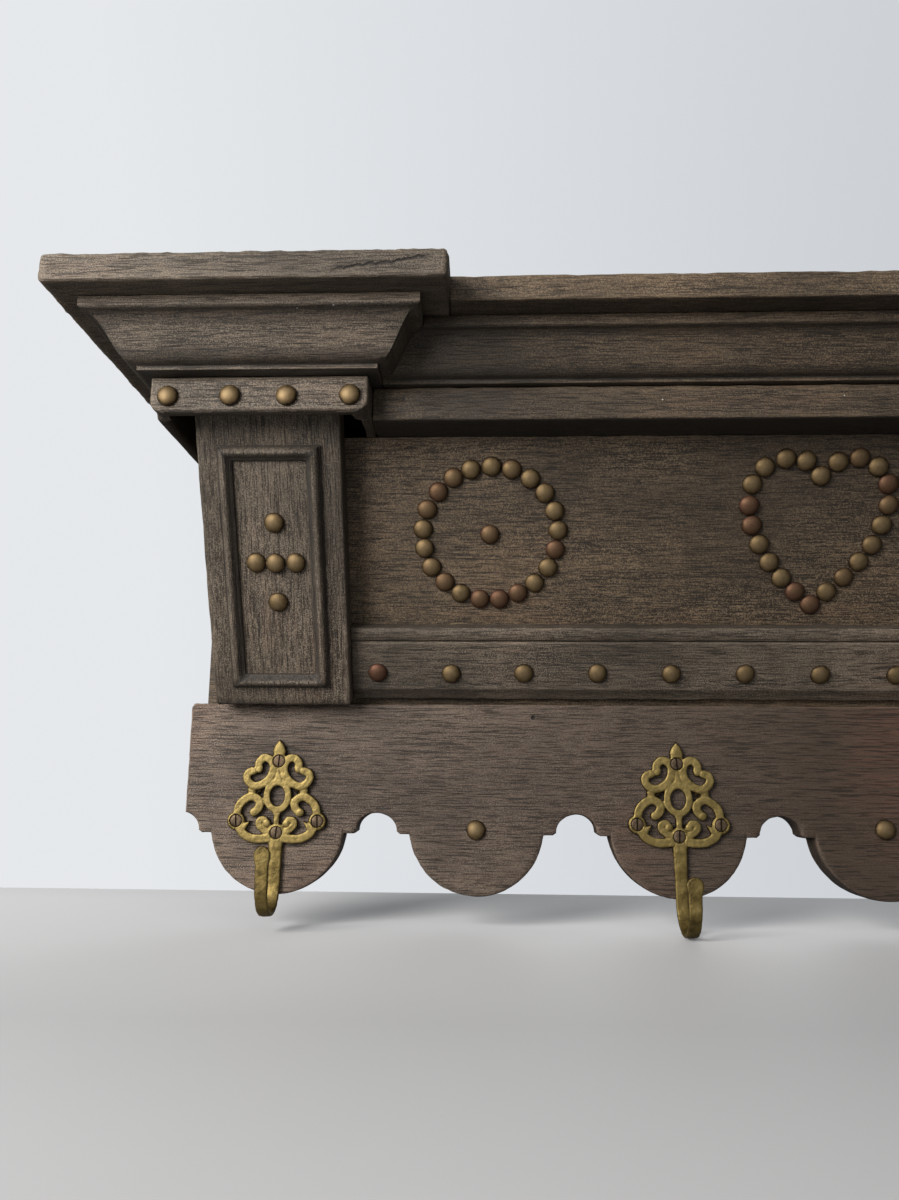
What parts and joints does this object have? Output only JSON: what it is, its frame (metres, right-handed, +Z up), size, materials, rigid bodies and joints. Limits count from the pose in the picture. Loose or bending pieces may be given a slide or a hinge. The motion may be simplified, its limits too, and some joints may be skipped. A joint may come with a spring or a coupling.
{
  "type": "wall hook rack",
  "caption": "Wall coat rack with a moulded shelf top, sloping brass-tacked frieze, pilasters and openwork brass hooks on a scalloped board.",
  "frame": {"origin": "on the hook board's back face, at mid length and mid height of its plain band", "axes": "+X along the rack to the viewer's right, +Y out of the back into the wall, +Z up"},
  "size_m": [1.041, 0.169, 0.3461],
  "materials": {
    "oak": "weathered dark oak, worn matt finish",
    "board_oak": "weathered dark oak with a red tinge, worn matt finish",
    "hook_brass": "aged cast brass, dark in the recesses",
    "tack_brass": "aged domed brass tacks, unevenly tarnished",
    "screw_metal": "dull brown slotted screws",
    "iron": "dark iron plate with light rust"
  },
  "bodies": {
    "root": {"hook_board": "board_oak", "frieze_board": "oak", "rail_moulding": "oak", "cornice_moulding": "oak", "cornice_fascia": "oak", "top_board": "oak", "back_panel": "oak", "pilaster_left": "oak", "pilaster_frame_left": "oak", "capital_block_left": "oak", "capital_moulding_left": "oak", "corona_left": "oak", "end_cheek_left": "oak", "capital_tacks_left": "tack_brass", "pilaster_tacks_left": "tack_brass", "circle_tacks_left": "tack_brass", "circle_centre_tack_left": "tack_brass", "heart_tacks_left": "tack_brass", "hanger_plate_left": "iron", "hanger_screw_left_outer": "screw_metal", "hanger_screw_left_inner": "screw_metal", "pilaster_right": "oak", "pilaster_frame_right": "oak", "capital_block_right": "oak", "capital_moulding_right": "oak", "corona_right": "oak", "end_cheek_right": "oak", "capital_tacks_right": "tack_brass", "pilaster_tacks_right": "tack_brass", "circle_tacks_right": "tack_brass", "circle_centre_tack_right": "tack_brass", "heart_tacks_right": "tack_brass", "hanger_plate_right": "iron", "hanger_screw_right_outer": "screw_metal", "hanger_screw_right_inner": "screw_metal", "rail_tacks": "tack_brass", "board_stud_1": "tack_brass", "board_stud_2": "tack_brass", "board_stud_3": "tack_brass", "board_stud_4": "tack_brass", "hook_1": "hook_brass", "hook_1_screw_top": "screw_metal", "hook_1_screw_left": "screw_metal", "hook_1_screw_right": "screw_metal", "hook_1_screw_bottom": "screw_metal", "hook_2": "hook_brass", "hook_2_screw_top": "screw_metal", "hook_2_screw_left": "screw_metal", "hook_2_screw_right": "screw_metal", "hook_2_screw_bottom": "screw_metal", "hook_3": "hook_brass", "hook_3_screw_top": "screw_metal", "hook_3_screw_left": "screw_metal", "hook_3_screw_right": "screw_metal", "hook_3_screw_bottom": "screw_metal", "hook_4": "hook_brass", "hook_4_screw_top": "screw_metal", "hook_4_screw_left": "screw_metal", "hook_4_screw_right": "screw_metal", "hook_4_screw_bottom": "screw_metal"}
  },
  "joints": []
}
